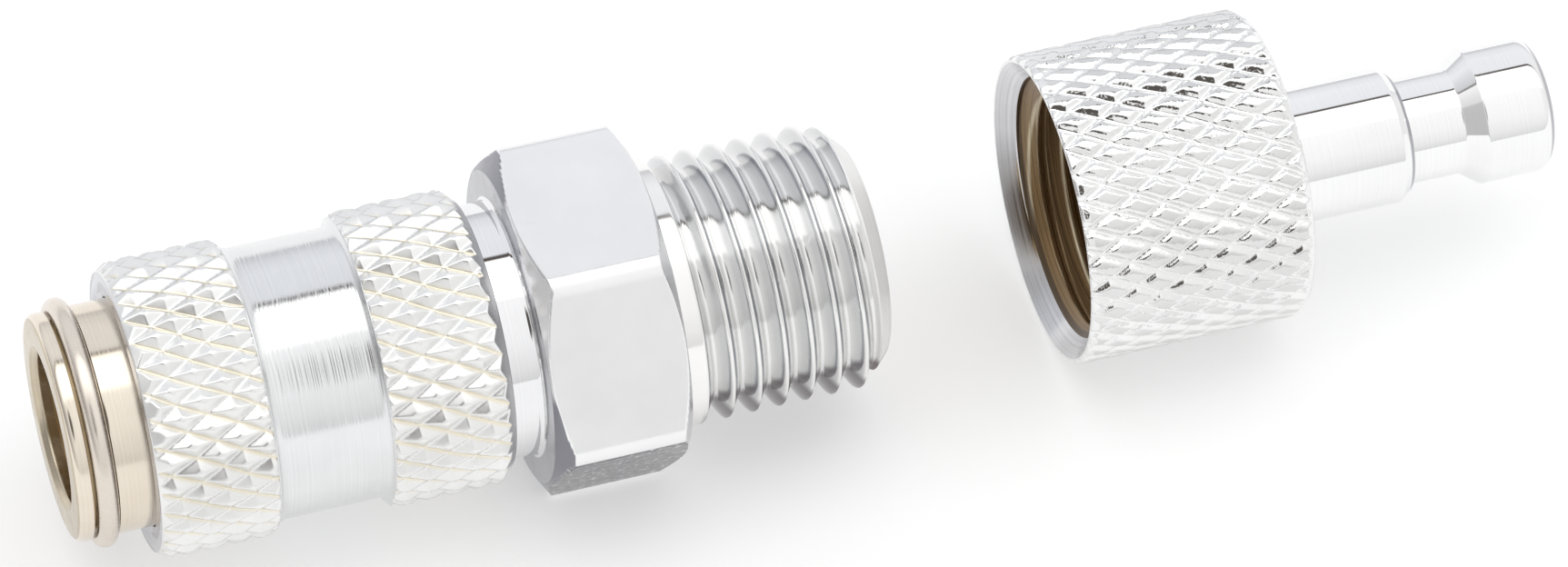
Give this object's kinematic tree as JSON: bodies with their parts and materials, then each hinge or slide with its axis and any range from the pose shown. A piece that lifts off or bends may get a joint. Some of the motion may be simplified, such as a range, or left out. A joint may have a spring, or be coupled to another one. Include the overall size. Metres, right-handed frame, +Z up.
{
  "type": "pneumatic quick coupling",
  "caption": "Quick coupling for compressed air, taken apart: socket with ball lock, knurled sleeve, shut-off valve and male pipe thread, and plug with knurled nut and female pipe thread.",
  "frame": {"origin": "on the table under the middle of the overall length, on the common centre line", "axes": "+X along the coupling's axis from the socket's nose to the plug's tip, +Z up from the table, hexagon with a flat down"},
  "size_m": [0.0754, 0.018, 0.0159],
  "materials": {
    "warm_nickel": "nickel-plated brass, glossy, slightly warm",
    "bright_nickel": "nickel-plated brass, bright satin, knurled",
    "zinc_steel": "bright zinc-plated steel",
    "plug_nickel": "nickel-plated brass, mirror bright, plain brass in the thread",
    "spring_steel": "spring steel wire",
    "ball_steel": "hardened steel, polished",
    "plain_brass": "plain turned brass",
    "nitrile": "black nitrile rubber"
  },
  "bodies": {
    "socket": {"front_body": "warm_nickel", "rear_adapter": "zinc_steel", "retaining_ring": "spring_steel", "sleeve_spring": "spring_steel", "valve_spring": "spring_steel", "plug_seal": "nitrile", "body_gasket": "nitrile"},
    "sleeve": {"locking_sleeve": "bright_nickel"},
    "valve": {"valve_poppet": "plain_brass", "valve_seal": "nitrile"},
    "plug": {"plug_nipple": "plug_nickel"},
    "ball_1": {"locking_ball_1": "ball_steel"},
    "ball_2": {"locking_ball_2": "ball_steel"},
    "ball_3": {"locking_ball_3": "ball_steel"},
    "ball_4": {"locking_ball_4": "ball_steel"},
    "ball_5": {"locking_ball_5": "ball_steel"},
    "ball_6": {"locking_ball_6": "ball_steel"}
  },
  "joints": [
    {"name": "sleeve_slide", "type": "slide", "parent": "socket", "child": "sleeve", "axis": [1, 0, 0], "range_m": [0, 0.00125], "stiffness_N_per_m": 1200, "springref_m": -0.005, "deforming": ["sleeve_spring"]},
    {"name": "valve_slide", "type": "slide", "parent": "socket", "child": "valve", "axis": [1, 0, 0], "range_m": [0, 0.0065], "stiffness_N_per_m": 400, "springref_m": -0.004, "deforming": ["valve_spring"]},
    {"name": "plug_lift", "type": "slide", "parent": "socket", "child": "plug", "axis": [0, 0, 1], "range_m": [0, 0.04]},
    {"name": "ball_1_slide", "type": "slide", "parent": "socket", "child": "ball_1", "axis": [0, 0, -1], "range_m": [0, 0.00038]},
    {"name": "ball_2_slide", "type": "slide", "parent": "socket", "child": "ball_2", "axis": [0, 0.866, -0.5], "range_m": [0, 0.00038]},
    {"name": "ball_3_slide", "type": "slide", "parent": "socket", "child": "ball_3", "axis": [0, 0.866, 0.5], "range_m": [0, 0.00038]},
    {"name": "ball_4_slide", "type": "slide", "parent": "socket", "child": "ball_4", "axis": [0, 0, 1], "range_m": [0, 0.00038]},
    {"name": "ball_5_slide", "type": "slide", "parent": "socket", "child": "ball_5", "axis": [0, -0.866, 0.5], "range_m": [0, 0.00038]},
    {"name": "ball_6_slide", "type": "slide", "parent": "socket", "child": "ball_6", "axis": [0, -0.866, -0.5], "range_m": [0, 0.00038]}
  ],
  "couplings": [
    {"joint": "ball_1_slide", "follows": "valve_slide", "ratio": 0.0584},
    {"joint": "ball_2_slide", "follows": "valve_slide", "ratio": 0.0584},
    {"joint": "ball_3_slide", "follows": "valve_slide", "ratio": 0.0584},
    {"joint": "ball_4_slide", "follows": "valve_slide", "ratio": 0.0584},
    {"joint": "ball_5_slide", "follows": "valve_slide", "ratio": 0.0584},
    {"joint": "ball_6_slide", "follows": "valve_slide", "ratio": 0.0584}
  ]
}
